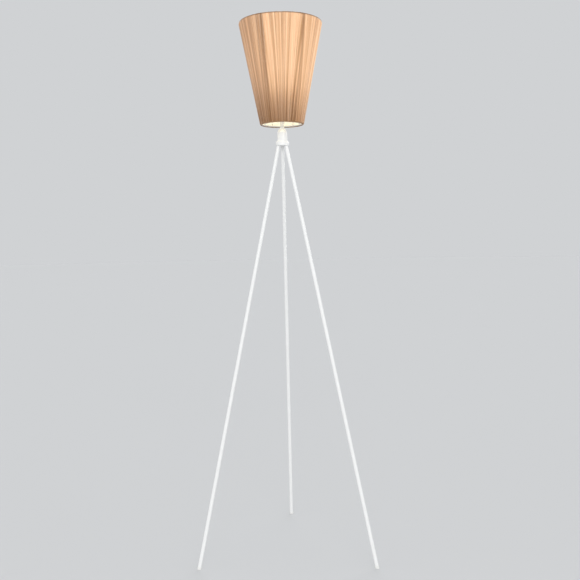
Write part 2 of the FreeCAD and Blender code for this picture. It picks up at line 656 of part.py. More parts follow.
def build_holder_inside():
    """Ceramic insert with its terminals, centre contact and brass screw shell."""
    core_base = f"cap_boss_height - ({CAP_TOP})"
    plate_level = f"{HOLDER_BASE} + {CAP_TOP}"
    plate_radius = f"{SHELL_LOWER_BORE} - insert_gap"
    keep(turned("holder_insert", (
        ("insert_bore_radius", core_base),
        ("insert_core_radius", core_base),
        ("insert_core_radius", "0"),
        (plate_radius, "0"),
        (plate_radius, "insert_plate_height"),
        ("insert_bore_radius", "insert_plate_height"),
    ), on_axis(plate_level)), "holder_insert")

    inner = "screw_shell_bore_radius"
    depth = "screw_shell_thread_depth"
    turns = int(value("screw_shell_length / lamp_thread_pitch"))
    thread_base = "screw_shell_wall"
    crest = f"{SCREW_SHELL} + {depth}"
    outside = ridges(SCREW_SHELL, crest, thread_base, "lamp_thread_pitch", turns)
    inside = ridges(inner, f"{inner} + {depth}", thread_base, "lamp_thread_pitch", turns)
    outline = [("screw_shell_flange_bore_radius", "0"), (SCREW_SHELL, "0")] + outside
    outline += [(SCREW_SHELL, "screw_shell_length"), (inner, "screw_shell_length")]
    outline += inside[::-1]
    outline += [(inner, "screw_shell_wall"), ("screw_shell_flange_bore_radius", "screw_shell_wall")]
    plate_top = f"{plate_level} + insert_plate_height"
    keep(turned("holder_screw_shell", outline, on_axis(plate_top)), "holder_screw_shell")

    # The centre contact is a leaf: fixed at one end, rising to a flat that meets the bulb.
    leaf = new_body("holder_center_contact", on_axis(plate_top))
    sketch = new_sketch(leaf, "contact_profile", "XZ_Plane")
    base_start = "contact_base_length - contact_base_end"
    draw_outline(sketch, (
        ("-contact_base_end", "0"),
        (base_start, "0"),
        ("-contact_tip_length", "contact_rise - contact_thickness"),
        ("contact_tip_length", "contact_rise - contact_thickness"),
        ("contact_tip_length", "contact_rise"),
        ("-contact_tip_length - contact_thickness / 2", "contact_rise"),
        (f"{base_start} - contact_thickness / 2", "contact_thickness"),
        ("-contact_base_end", "contact_thickness"),
    ))
    padded(leaf, sketch, "contact_width", symmetric=True)
    keep(leaf, "holder_center_contact")

    blocks = []
    screws = []
    for side, direction in (("left", -1), ("right", 1)):
        middle = f"{direction} * (insert_core_radius + terminal_reach / 2)"
        block_base = f"{plate_level} - terminal_height"
        corner_x = f"{middle} - terminal_reach / 2"
        corner_y = f"{AXIS_Y} - terminal_width / 2"
        corner = f"placement(vector({corner_x}; {corner_y}; {block_base}); rotation(0; 0; 0))"
        sizes = {"Length": "terminal_reach", "Width": "terminal_width"}
        sizes["Height"] = "terminal_height"
        block = primitive("Part::Box", "terminal_block_" + side, corner, **sizes)
        below = f"placement(vector({middle}; {AXIS_Y}; {block_base}); rotation(0; 0; 0))"
        tapping = {"Radius": "terminal_screw_radius + fit_gap", "Height": "terminal_screw_length"}
        hole = primitive("Part::Cylinder", "terminal_tapping_" + side, below, **tapping)
        blocks.append(cut("terminal_" + side, block, hole))
        screws.append(turned("terminal_screw_" + side, (
            ("0", "-terminal_screw_head_height"),
            ("terminal_screw_head_radius", "-terminal_screw_head_height"),
            ("terminal_screw_head_radius", "0"),
            ("terminal_screw_radius", "0"),
            ("terminal_screw_radius", "terminal_screw_length"),
            ("0", "terminal_screw_length"),
        ), below))
    group("holder_terminals", blocks)
    group("holder_terminal_screws", screws)


def build_shade_ring(label, level, flange_first):
    """A threaded ring with finger notches. Its flange faces the shade carrier."""
    height = "ring_collar_height + ring_flange_thickness"
    step = "ring_flange_thickness" if flange_first else "ring_collar_height"
    low, high = (RING_FLANGE, RING_COLLAR) if flange_first else (RING_COLLAR, RING_FLANGE)
    ring = turned(label, (
        (RING_BORE, "0"),
        (low, "0"),
        (low, step),
        (high, step),
        (high, height),
        (RING_BORE, height),
    ), on_axis(level))
    before = ring.Shape.Volume
    sketch = new_sketch(ring, label + "_notch_outline", "XY_Plane")
    draw_circles(sketch, (f"{RING_FLANGE} + ring_notch_radius / 4", "0", "ring_notch_radius"))
    pocket = ring.newObject("PartDesign::Pocket", label + "_notch")
    pocket.Profile = sketch
    pocket.Type = "ThroughAll"
    pocket.SideType = "Symmetric"
    document.recompute()
    repeated(ring, pocket, "ring_notch_count")
    if ring.Shape.Volume >= before:
        raise RuntimeError(f"{label}: the notches cut nothing")
    keep(ring, label)


def build_spider():
    """Carrier ring with three wire arms that run out and down to the bottom ring."""
    body = new_body("shade_spider", on_axis(FITTER_MIDDLE, "30"))
    flat = new_sketch(body, "carrier_ring_outline", "XY_Plane")
    draw_circles(flat, ("0", "0", FITTER_RIM), ("0", "0", FITTER_BORE))
    padded(body, flat, "fitter_thickness", symmetric=True)

    end_level = f"({BOTTOM_RING_LEVEL} - shade_drop)"
    slope = f"atan(-{end_level} / ({BOTTOM_RING} - {ARM_CORNER}))"
    tangent = f"arm_bend_radius * tan(({slope}) / 2)"
    root = f"{FITTER_RIM} - arm_root_overlap"
    path = new_sketch(body, "arm_path", "XZ_Plane")
    draw_outline(path, (
        (root, "0"),
        (f"{ARM_CORNER} - {tangent}", "0"),
        (f"{ARM_CORNER} + {tangent} * cos({slope})", f"-{tangent} * sin({slope})",
         "-arm_bend_radius"),
        (BOTTOM_RING, end_level),
    ), closed=False)
    wire = new_sketch(body, "arm_section", "YZ_Plane")
    wire.setExpression(".AttachmentOffset.Base.z", bound(root))
    draw_circles(wire, ("0", "0", "arm_radius"))
    arm = body.newObject("PartDesign::AdditivePipe", "carrier_arm")
    arm.Profile = wire
    arm.Spine = (path, [])
    document.recompute()
    repeated(body, arm, "arm_count")
    keep(body, "shade_spider")


def on_shade_wall(ring, level, offset, angle):
    """Point of the wall's section, an offset from a ring's centre at an angle above +X."""
    return (f"{ring} + {offset} * cos({angle})", f"{level} + {offset} * sin({angle})")


def build_shade():
    """Two wire rings held apart by struts, a liner outside them, and the wound thread."""
    wire = {"Radius2": "ring_wire_radius"}
    for label, ring, level in (
        ("shade_bottom_ring", BOTTOM_RING, BOTTOM_RING_LEVEL),
        ("shade_top_ring", TOP_RING, TOP_RING_LEVEL),
    ):
        place = on_axis(f"{SHADE_BASE} + {level}")
        keep(primitive("Part::Torus", label, place, Radius1=ring, **wire), label)

    struts = []
    foot = f"{SHADE_BASE} + {BOTTOM_RING_LEVEL}"
    length = f"({TOP_RING_LEVEL} - {BOTTOM_RING_LEVEL}) / cos({SHADE_FLARE})"
    for azimuth in STRUT_AZIMUTHS:
        spot = f"vector({BOTTOM_RING} * cos({azimuth}); {BOTTOM_RING} * sin({azimuth}) + {AXIS_Y};"
        place = f"placement({spot} {foot}); rotation({azimuth}; {SHADE_FLARE}; 0))"
        sizes = {"Radius": "strut_radius", "Height": length}
        struts.append(primitive("Part::Cylinder", f"strut_{azimuth}", place, **sizes))
    group("shade_struts", struts)

    out = f"(-{SHADE_FLARE})"
    bottom = (BOTTOM_RING, BOTTOM_RING_LEVEL)
    top = (TOP_RING, TOP_RING_LEVEL)
    keep(turned("shade_liner", (
        on_shade_wall(*bottom, LINER_INSIDE, out),
        on_shade_wall(*bottom, LINER_OUTSIDE, out),
        on_shade_wall(*top, LINER_OUTSIDE, out),
        on_shade_wall(*top, LINER_INSIDE, out),
    ), on_axis(SHADE_BASE)), "shade_liner")

    # The thread hooks over the top ring and under the bottom one.
    keep(turned("shade_thread_wrap", (
        on_shade_wall(*bottom, WRAP_OUTSIDE, f"-{HOOK_END}"),
        on_shade_wall(*bottom, WRAP_OUTSIDE, out) + (WRAP_OUTSIDE,),
        on_shade_wall(*top, WRAP_OUTSIDE, out),
        on_shade_wall(*top, WRAP_OUTSIDE, HOOK_END) + (WRAP_OUTSIDE,),
        on_shade_wall(*top, LINER_OUTSIDE, HOOK_END),
        on_shade_wall(*top, LINER_OUTSIDE, out) + (f"-{LINER_OUTSIDE}",),
        on_shade_wall(*bottom, LINER_OUTSIDE, out),
        on_shade_wall(*bottom, LINER_OUTSIDE, f"-{HOOK_END}") + (f"-{LINER_OUTSIDE}",),
    ), on_axis(SHADE_BASE)), "shade_thread_wrap")


def build_bulb_cap():
    """Screw cap of the bulb with its insulator and tip contact."""
    place = on_axis(BULB_BASE)
    keep(turned("bulb_contact", (
        ("0", "0"),
        ("bulb_contact_flat_radius", "0"),
        ("bulb_contact_radius", "bulb_contact_height / 2"),
        ("bulb_contact_radius", "bulb_contact_height"),
        ("0", "bulb_contact_height"),
    ), place), "bulb_contact")

    disc_base = "bulb_contact_height + insulator_cone_height"
    disc_top = f"{disc_base} + insulator_disc_height"
    keep(turned("bulb_insulator", (
        ("0", "bulb_contact_height"),
        ("bulb_contact_radius", "bulb_contact_height"),
        (f"{INSULATOR_CONE} - fit_gap", disc_base),
        (INSULATOR_DISC, disc_base),
        (INSULATOR_DISC, disc_top),
        ("0", disc_top),
    ), place), "bulb_insulator")

    inner_root = f"{CAP_ROOT} - bulb_cap_wall"
    inner_crest = f"{CAP_CREST} - bulb_cap_wall"
    thread_base = f"{CAP_FOOT} + bulb_cap_lip_height"
    threaded = "bulb_cap_height - bulb_cap_lip_height - bulb_cap_collar_height"
    turns = int(value(f"({threaded}) / lamp_thread_pitch"))
    outside = ridges(CAP_ROOT, CAP_CREST, thread_base, "lamp_thread_pitch", turns)
    inside = ridges(inner_root, inner_crest, thread_base, "lamp_thread_pitch", turns)
    collar = f"{CAP_RIM} - bulb_cap_collar_height"
    outline = [
        (INSULATOR_CONE, CAP_FOOT),
        (INSULATOR_DISC, CAP_FOOT),
        (f"{INSULATOR_DISC} + bulb_cap_wall", f"{CAP_FOOT} + bulb_cap_wall"),
        (CAP_ROOT, f"{CAP_FOOT} + bulb_cap_lip_height"),
    ]
    outline += outside
    outline += [
        (CAP_ROOT, f"{collar} - bulb_cap_wall"),
        (f"{CAP_ROOT} + bulb_cap_wall", collar),
        (f"{CAP_ROOT} + bulb_cap_wall", CAP_RIM),
        (CAP_ROOT, CAP_RIM),
        (CAP_ROOT, collar),
        (inner_root, f"{collar} - bulb_cap_wall"),
    ]
    outline += inside[::-1]
    outline += [
        (inner_root, f"{CAP_FOOT} + bulb_cap_lip_height"),
        (f"{INSULATOR_DISC} + fit_gap", f"{CAP_FOOT} + 2 * bulb_cap_wall"),
        (f"{INSULATOR_DISC} + fit_gap", f"{CAP_FOOT} + bulb_cap_wall"),
        (INSULATOR_CONE, f"{CAP_FOOT} + bulb_cap_wall"),
    ]
    keep(turned("bulb_cap", outline, place), "bulb_cap")


def build_bulb_housing():
    """Plastic housing, the disc of light sources on its ledge and the driver below it."""
    place = on_axis(BULB_BASE)
    plug_base = f"{CAP_RIM} - housing_plug_height"
    flare_top = f"{THROAT_TOP} + housing_flare_height"
    inside = "bulb_radius - housing_wall"
    ledge = "bulb_radius - 2 * housing_wall"
    keep(turned("bulb_housing", (
        (f"{PLUG} - housing_wall", plug_base),
        (PLUG, plug_base),
        (PLUG, CAP_RIM),
        (HOUSING_FOOT, CAP_RIM),
        (THROAT, THROAT_TOP),
        ("bulb_radius", flare_top),
        ("bulb_radius", HOUSING_TOP),
        (inside, HOUSING_TOP),
        (inside, BOARD_SEAT),
        (ledge, BOARD_SEAT),
        (ledge, f"{BOARD_SEAT} - housing_wall"),
        (f"{THROAT} - housing_wall", f"{THROAT_TOP} + housing_wall"),
        (f"{PLUG} - housing_wall", CAP_RIM),
    ), place), "bulb_housing")

    board_radius = f"{inside} - fit_gap"
    board_top = f"{BOARD_SEAT} + board_thickness"
    keep(turned("bulb_led_board", (
        ("0", BOARD_SEAT),
        (board_radius, BOARD_SEAT),
        (board_radius, board_top),
        ("0", board_top),
    ), place), "bulb_led_board")

    leds = []
    step = 360 / value("led_count")
    sizes = {"Length": "led_size", "Width": "led_size", "Height": "led_thickness"}
    for number in range(int(value("led_count"))):
        angle = number * step
        corner_x = f"led_circle_radius * cos({angle}) - led_size / 2"
        corner_y = f"led_circle_radius * sin({angle}) - led_size / 2 + {AXIS_Y}"
        level = f"{BULB_BASE} + {board_top}"
        corner = f"placement(vector({corner_x}; {corner_y}; {level}); rotation(0; 0; 0))"
        leds.append(primitive("Part::Box", f"led_{number}", corner, **sizes))
    group("bulb_leds", leds)

    foot = f"{BULB_BASE} + bulb_contact_height + insulator_cone_height + insulator_disc_height"
    front = f"{AXIS_Y} - driver_board_thickness / 2"
    back = f"{AXIS_Y} + driver_board_thickness / 2"
    half_width = f"({PLUG} - housing_wall - driver_board_gap)"
    board = primitive(
        "Part::Box", "driver_board",
        f"placement(vector(-{half_width}; {front}; {foot}); rotation(0; 0; 0))",
        Length=f"2 * {half_width}", Width="driver_board_thickness",
        Height=f"{BULB_BASE} + {BOARD_SEAT} - ({foot})",
    )
    level = f"{foot} + component_height"
    coil = primitive(
        "Part::Box", "driver_coil",
        f"placement(vector(-coil_size / 2; {front} - coil_depth; {level}); rotation(0; 0; 0))",
        Length="coil_size", Width="coil_depth", Height="coil_size",
    )
    capacitor = primitive(
        "Part::Cylinder", "driver_capacitor",
        f"placement(vector(0; {back} + capacitor_radius; {level}); rotation(0; 0; 0))",
        Radius="capacitor_radius", Height="capacitor_length",
    )
    group("bulb_driver", [board, coil, capacitor])


def build_globe():
    """Opal globe that tapers to a rounded tip, with a lip inside the housing's rim."""
    lip = "bulb_radius - housing_wall - fit_gap"
    shoulder = f"{HOUSING_TOP} + globe_straight_height"
    tip = f"{shoulder} + globe_taper_height"
    inner_curve = "globe_taper_radius - globe_wall"
    globe = turned("bulb_globe", (
        (f"{lip} - globe_wall", f"{HOUSING_TOP} - globe_lip_height"),
        (lip, f"{HOUSING_TOP} - globe_lip_height"),
        (lip, HOUSING_TOP),
        ("bulb_radius", HOUSING_TOP),
        ("bulb_radius", shoulder),
        ("globe_tip_radius", tip, "globe_taper_radius"),
        ("0", tip),
        ("0", f"{tip} - globe_wall"),
        ("globe_tip_radius - globe_wall / 2", f"{tip} - globe_wall"),
        ("bulb_radius - globe_wall", shoulder, f"-({inner_curve})"),
        ("bulb_radius - globe_wall", f"{HOUSING_TOP} + globe_wall"),
        (f"{lip} - globe_wall", f"{HOUSING_TOP} + globe_wall"),
    ), on_axis(BULB_BASE))
    dress(globe, "Fillet", "globe_tip_rounding", ("globe_tip_radius", tip))
    keep(globe, "bulb_globe")


def check_model():
    """Every feature is up to date, and every sub-part is a valid shape."""
    document.recompute()
    for feature in document.Objects:
        if {"Invalid", "Error"} & set(feature.State):
            raise RuntimeError(f"{feature.Label} failed: {feature.State}")
    for feature in sub_parts:
        if feature.Shape.isNull() or not feature.Shape.isValid():
            raise RuntimeError(f"{feature.Label} has no valid shape")
        if not feature.Shape.Solids:
            raise RuntimeError(f"{feature.Label} has no solid")


def write_parts():
    os.makedirs("parts", exist_ok=True)
    for feature in sub_parts:
        feature.Shape.exportStep(f"parts/{feature.Label}.step")


fill_sheet()
build_tripod()
build_hub()
build_stem()
build_holder_cap()
build_holder_shell()
build_holder_inside()
build_shade_ring("shade_ring_lower", LOWER_RING_BASE, flange_first=False)
build_shade_ring("shade_ring_upper", UPPER_RING_BASE, flange_first=True)
build_spider()
build_shade()
build_bulb_cap()
build_bulb_housing()
build_globe()
check_model()
write_parts()
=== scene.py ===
import json
import math
import random

import bpy
from mathutils import Matrix, Vector


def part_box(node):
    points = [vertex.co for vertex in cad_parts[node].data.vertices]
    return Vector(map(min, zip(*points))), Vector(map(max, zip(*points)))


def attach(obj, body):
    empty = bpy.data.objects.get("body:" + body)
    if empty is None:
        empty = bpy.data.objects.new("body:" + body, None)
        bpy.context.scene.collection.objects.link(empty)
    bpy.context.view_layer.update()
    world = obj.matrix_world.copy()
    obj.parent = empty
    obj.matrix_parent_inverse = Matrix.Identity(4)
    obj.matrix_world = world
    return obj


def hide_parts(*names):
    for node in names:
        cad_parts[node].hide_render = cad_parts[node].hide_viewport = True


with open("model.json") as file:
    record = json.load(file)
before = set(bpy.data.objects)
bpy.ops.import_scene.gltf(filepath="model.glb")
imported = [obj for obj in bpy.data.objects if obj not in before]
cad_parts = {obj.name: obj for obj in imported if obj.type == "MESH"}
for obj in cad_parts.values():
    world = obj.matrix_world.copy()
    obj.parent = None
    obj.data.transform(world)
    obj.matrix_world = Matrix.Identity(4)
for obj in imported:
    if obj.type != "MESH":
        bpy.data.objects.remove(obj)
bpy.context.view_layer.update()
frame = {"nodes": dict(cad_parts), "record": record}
MM = 0.001

# ---------------------------------------------------------------- places, from the frame


def middle(node):
    low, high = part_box(node)
    return (low + high) / 2


AXIS = middle("hub_body")
AXIS_X, AXIS_Y = AXIS.x, AXIS.y


def ring_line(node):
    """Radius and height of a wire ring's centre line."""
    low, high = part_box(node)
    wire_radius = (high.z - low.z) / 2
    return (high.x - low.x) / 2 - wire_radius, (low.z + high.z) / 2


BOTTOM_RADIUS, BOTTOM_LEVEL = ring_line("shade_bottom_ring")
TOP_RADIUS, TOP_LEVEL = ring_line("shade_top_ring")
WRAP_LOW, WRAP_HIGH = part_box("shade_thread_wrap")
# How far the thread's outer face stands out from the rings' centre lines, how thick the
# thread is there, and how far the wall leans outwards.
WALL_OUTSIDE = (WRAP_HIGH.x - WRAP_LOW.x) / 2 - TOP_RADIUS
WRAP_THICKNESS = 1.2 * MM
FLARE = math.atan2(TOP_RADIUS - BOTTOM_RADIUS, TOP_LEVEL - BOTTOM_LEVEL)

# ---------------------------------------------------------------- camera

FOCAL_LENGTH = 47.9
CAMERA_DISTANCE = 2.195
CAMERA_HEIGHT = 0.9034
CAMERA_BEARING = math.radians(1.84)
CAMERA_PAN = math.radians(-0.38)
CAMERA_PITCH = math.radians(-3.9)
CAMERA_ROLL = math.radians(-0.96)


def make_camera():
    data = bpy.data.cameras.new("camera")
    data.sensor_width = 36
    data.lens = FOCAL_LENGTH
    data.clip_end = 60
    camera = bpy.data.objects.new("camera", data)
    bpy.context.scene.collection.objects.link(camera)
    place = Matrix.Translation((
        AXIS_X + CAMERA_DISTANCE * math.sin(CAMERA_BEARING),
        AXIS_Y - CAMERA_DISTANCE * math.cos(CAMERA_BEARING),
        CAMERA_HEIGHT,
    ))
    turn = Matrix.Rotation(CAMERA_BEARING + CAMERA_PAN, 4, "Z")
    tilt = Matrix.Rotation(math.radians(90) + CAMERA_PITCH, 4, "X")
    roll = Matrix.Rotation(CAMERA_ROLL, 4, "Z")
    camera.matrix_world = place @ turn @ tilt @ roll
    bpy.context.scene.camera = camera


# ---------------------------------------------------------------- material nodes


class Nodes:
    """A material's node tree, with short ways to add nodes and join them."""

    def __init__(self, name, colour, roughness, metallic=0.0):
        self.material = bpy.data.materials.new(name)
        self.material.use_nodes = True
        self.tree = self.material.node_tree
        self.shader = self.tree.nodes["Principled BSDF"]
        self.shader.inputs["Base Color"].default_value = (*colour, 1)
        self.shader.inputs["Roughness"].default_value = roughness
        self.shader.inputs["Metallic"].default_value = metallic
        self.place = self.add("ShaderNodeTexCoord").outputs["Object"]

    def add(self, kind, **settings):
        node = self.tree.nodes.new(kind)
        for name, setting in settings.items():
            setattr(node, name, setting)
        return node

    def join(self, source, target):
        self.tree.links.new(source, target)

    def noise(self, scale, detail, stretch=(1, 1, 1)):
        mapping = self.add("ShaderNodeMapping")
        mapping.inputs["Scale"].default_value = stretch
        self.join(self.place, mapping.inputs["Vector"])
        noise = self.add("ShaderNodeTexNoise")
        noise.inputs["Scale"].default_value = scale
        noise.inputs["Detail"].default_value = detail
        self.join(mapping.outputs["Vector"], noise.inputs["Vector"])
        return noise.outputs["Fac"]

    def ramp(self, factor, *stops):
        """A colour ramp through (position, colour) stops."""
        node = self.add("ShaderNodeValToRGB")
        elements = node.color_ramp.elements
        while len(elements) < len(stops):
            elements.new(0.5)
        for element, (position, colour) in zip(elements, stops):
            element.position = position
            element.color = (*colour, 1)
        self.join(factor, node.inputs["Fac"])
        return node.outputs["Color"]

    def ranged(self, factor, low, high, start=0.3, end=0.7):
        """The factor's span from start to end, mapped to low to high."""
        node = self.add("ShaderNodeMapRange")
        for name, setting in (
            ("From Min", start), ("From Max", end), ("To Min", low), ("To Max", high),
        ):
            node.inputs[name].default_value = setting
        self.join(factor, node.inputs["Value"])
        return node.outputs["Result"]

    def bump(self, height, distance, strength):
        node = self.add("ShaderNodeBump")
        node.inputs["Distance"].default_value = distance
        node.inputs["Strength"].default_value = strength
        self.join(height, node.inputs["Height"])
        self.join(node.outputs["Normal"], self.shader.inputs["Normal"])

    def colour(self, output):
        self.join(output, self.shader.inputs["Base Color"])

    def roughness(self, output):
        self.join(output, self.shader.inputs["Roughness"])

    def fixed(self, **sockets):
        for name, setting in sockets.items():
            self.shader.inputs[name.replace("_", " ")].default_value = setting


def shade_of(colour, factor):
    return tuple(min(1.0, channel * factor) for channel in colour)


def powder_coat(name, colour, roughness=0.36):
    """White powder coat: fine orange peel, slightly uneven gloss, faint dust in the colour."""
    nodes = Nodes(name, colour, roughness)
    peel = nodes.noise(900, 2)
    soft = nodes.noise(60, 4)
    nodes.colour(nodes.ramp(soft, (0.3, shade_of(colour, 0.965)), (0.7, colour)))
    nodes.roughness(nodes.ranged(soft, roughness - 0.05, roughness + 0.06))
    nodes.bump(peel, 0.03 * MM, 0.5)
    nodes.fixed(Coat_Weight=0.15, Coat_Roughness=0.2)
    return nodes.material


def moulded(name, colour, roughness, flow_shade=0.94):
    """Moulded plastic: fine grain, faint flow marks."""
    nodes = Nodes(name, colour, roughness)
    flow = nodes.noise(90, 3, (1, 1, 0.3))
    grain = nodes.noise(1400, 2)
    nodes.colour(nodes.ramp(flow, (0.35, shade_of(colour, flow_shade)), (0.65, colour)))
    nodes.roughness(nodes.ranged(flow, roughness - 0.06, roughness + 0.08))
    nodes.bump(grain, 0.02 * MM, 0.6)
    return nodes.material


def metal(name, colour, roughness, tarnish):
    """Plated or rolled metal: drawn scratches along the axis and blotchy tarnish."""
    nodes = Nodes(name, colour, roughness, 1.0)
    scratch = nodes.noise(1500, 3, (1, 1, 0.08))
    blotch = nodes.noise(140, 4)
    nodes.colour(nodes.ramp(blotch, (0.3, tarnish), (0.65, colour)))
    nodes.roughness(nodes.ranged(scratch, roughness - 0.08, roughness + 0.12))
    nodes.bump(scratch, 0.01 * MM, 0.5)
    return nodes.material


def unglazed(name, colour):
    """Unglazed technical ceramic: dark specks and a dry, pitted surface."""
    nodes = Nodes(name, colour, 0.75)
    specks = nodes.noise(1100, 5)
    nodes.colour(nodes.ramp(specks, (0.28, shade_of(colour, 0.72)), (0.4, colour)))
    nodes.bump(nodes.noise(600, 4), 0.05 * MM, 0.7)
    return nodes.material


def liner_film(name, colour, glow):
    """Opal film behind the thread: fine fibres and a warm painted glow, emission standing in for
    the bulb's light coming through it.
    """
    nodes = Nodes(name, colour, 0.55)
    fibre = nodes.noise(700, 4, (1, 1, 0.12))
    tint = nodes.ramp(fibre, (0.3, shade_of(colour, 0.93)), (0.7, colour))
    nodes.colour(tint)
    nodes.join(nodes.ramp(fibre, (0.3, (1.0, 0.87, 0.62)), (0.7, (1.0, 0.91, 0.7))),
               nodes.shader.inputs["Emission Color"])
    # Painted glow: the film emits light of its own, standing in for the bulb's light on it.
    nodes.fixed(Emission_Strength=glow)
    nodes.bump(fibre, 0.03 * MM, 0.6)
    return nodes.material


def lit_globe(name, glow):
    """Opal globe of the bulb, lit: warmer and weaker towards its base and its tip."""
    nodes = Nodes(name, (0.98, 0.95, 0.88), 0.35)
    low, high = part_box("bulb_globe")
    split = nodes.add("ShaderNodeSeparateXYZ")
    nodes.join(nodes.place, split.inputs["Vector"])
    level = nodes.ranged(split.outputs["Z"], 0, 1, low.z, high.z)
    cloud = nodes.noise(120, 3)
    nodes.join(nodes.ramp(level, (0.0, (1.0, 0.79, 0.36)), (0.35, (1.0, 0.89, 0.5)),
                          (1.0, (1.0, 0.84, 0.44))), nodes.shader.inputs["Emission Color"])
    nodes.roughness(nodes.ranged(cloud, 0.3, 0.42))
    nodes.fixed(Emission_Strength=glow)
    return nodes.material


THREAD_MIDDLE = (0.60, 0.39, 0.25)
THREAD_TONES = (
    (0.0, (0.25, 0.115, 0.04)),
    (0.3, (0.41, 0.225, 0.11)),
    (0.6, THREAD_MIDDLE),
    (1.0, (0.76, 0.55, 0.38)),
)
# Colours of the painted glow on the thread: emission that stands in for the bulb's light coming
# through it.
GLOW_COLOURS = (
    (0.0, (0.0, 0.0, 0.0)),
    (0.4, (0.20, 0.08, 0.015)),
    (0.72, (0.64, 0.35, 0.125)),
    (1.0, (1.0, 0.66, 0.375)),
)


def satin_thread(name, glow):
    """Wound satin thread: a tone on each strand, partly its own and partly painted shade, a twist,
    and a painted glow that stands in for the light from inside.
    """
    nodes = Nodes(name, THREAD_MIDDLE, 0.42)
    tone = nodes.add("ShaderNodeAttribute", attribute_name="tone").outputs["Fac"]
    glowing = nodes.add("ShaderNodeAttribute", attribute_name="glow").outputs["Fac"]
    fibre = nodes.noise(2600, 2, (1, 1, 0.25))
    mixed = nodes.add("ShaderNodeMath", operation="ADD")
    nodes.join(tone, mixed.inputs[0])
    nodes.join(nodes.ranged(fibre, -0.06, 0.06), mixed.inputs[1])
    nodes.colour(nodes.ramp(mixed.outputs["Value"], *THREAD_TONES))
    twist = nodes.add("ShaderNodeTexWave", wave_type="BANDS", bands_direction="DIAGONAL")
    twist.inputs["Scale"].default_value = 1.0
    winding = nodes.add("ShaderNodeUVMap", uv_map="strand")
    nodes.join(winding.outputs["UV"], twist.inputs["Vector"])
    nodes.bump(twist.outputs["Fac"], 0.06 * MM, 0.6)
    # Painted glow: the thread emits light, standing in for the light from inside.
    nodes.join(nodes.ramp(glowing, *GLOW_COLOURS), nodes.shader.inputs["Emission Color"])
    nodes.fixed(Emission_Strength=glow, Sheen_Weight=0.6, Sheen_Roughness=0.35)
    nodes.roughness(nodes.ranged(fibre, 0.36, 0.5))
    return nodes.material


# ---------------------------------------------------------------- CAD nodes' materials

WHITE = (0.885, 0.885, 0.875)


def dress_cad_nodes():
    coat = powder_coat("powder_coat", WHITE)
    wire = powder_coat("coated_wire", (0.92, 0.91, 0.89), 0.3)
    made = {
        "white_coat": coat,
        "shade_wire": wire,
        "bush_plastic": moulded("bush_plastic", (0.88, 0.88, 0.86), 0.5),
        "glide_plastic": moulded("glide_nylon", (0.87, 0.87, 0.84), 0.55, flow_shade=0.86),
        "zinc_steel": metal("zinc_plate", (0.72, 0.74, 0.76), 0.34, (0.5, 0.5, 0.48)),
        "holder_plastic": moulded("holder_plastic", (0.9, 0.89, 0.86), 0.4),
        "insert_ceramic": unglazed("insert_ceramic", (0.86, 0.84, 0.78)),
        "contact_brass": metal("contact_brass", (0.83, 0.62, 0.3), 0.3, (0.5, 0.34, 0.15)),
        "shade_liner": liner_film("opal_film", (0.93, 0.91, 0.86), 0.3),
        "bulb_cap_nickel": metal("nickel_plate", (0.78, 0.76, 0.71), 0.25, (0.58, 0.55, 0.5)),
        "bulb_insulator": moulded("black_insulator", (0.03, 0.03, 0.035), 0.15, flow_shade=0.6),
        "bulb_housing": moulded("bulb_housing", (0.92, 0.91, 0.88), 0.28),
        "bulb_globe": lit_globe("lit_globe", 5.5),
        "led_board": moulded("board_mask", (0.85, 0.86, 0.86), 0.45),
        "led_phosphor": moulded("phosphor", (0.93, 0.74, 0.2), 0.3, flow_shade=0.8),
        "driver_board": moulded("circuit_board", (0.07, 0.27, 0.14), 0.35, flow_shade=0.6),
        "shade_thread": satin_thread("satin_thread", 0.44),
    }
    slots = {part["node"]: part["material_slot"] for part in frame["record"]["subparts"]}
    for name, node in frame["nodes"].items():
        material = made[slots[name]]
        for entry in node.material_slots:
            entry.material = material
        if not node.material_slots:
            node.data.materials.append(material)
    return made


# ---------------------------------------------------------------- wound thread

THREAD_RADIUS = 0.45 * MM
TWIST_PITCH = 3 * MM
STRAND_SIDES = 6

# A strand's points: HOOK_STEPS on each hook and one at each share of the way up the wall.
HOOK_STEPS = 4
RUN_SHARES = (0.0, 0.05, 0.18, 0.34, 0.5, 0.66, 0.82, 0.95, 1.0)

# How far a strand turns round the bottom ring and round the top ring, and how far it turns
# there where it is near one of the struts, which stand evenly round the shade.
BOTTOM_HOOK_TURN = math.radians(95)
TOP_HOOK_TURN = math.radians(200)
SHORT_HOOK_TURN = math.radians(150)
STRUT_STEP = math.radians(60)
STRUT_CLEARANCE = math.radians(1.8)

# Two layers, each with its number of strands, how unevenly they are spaced (in gaps), and
# how far a strand leans from ring to ring. The second layer lies further out.
UNDER_STRANDS = 800
UNDER_UNEVENNESS = 0.15
UNDER_LEAN = math.radians(0.8)
UNDER_SEED = 11
OVER_STRANDS = 300
OVER_UNEVENNESS = 0.45
OVER_LEAN = math.radians(3.0)
OVER_SEED = 23
OVER_OUTWARDS = 0.6 * MM

# Neighbours lean together. Each strand also leans by itself, sways a little, and every
# second one lies further out.
LEAN_CELLS = 40
OWN_LEAN = 0.1
SWAY = 0.001
SWAY_TURN = 5
ALTERNATE_LIFT = 0.3 * MM

# Darker bands, in pairs: the azimuth of each pair's middle, how far its two bands stand from that
# middle at the top and at the bottom, and how wide and how deep they are.
BAND_MIDDLES = tuple(math.radians(azimuth) for azimuth in (-84.5, 35.5, 155.5))
BAND_SPREAD_TOP = math.radians(29.8)
BAND_SPREAD_BOTTOM = math.radians(31.8)
BAND_WIDTH = math.radians(2.4)
LEFT_BAND_DEPTH = 0.8
RIGHT_BAND_DEPTH = 0.5
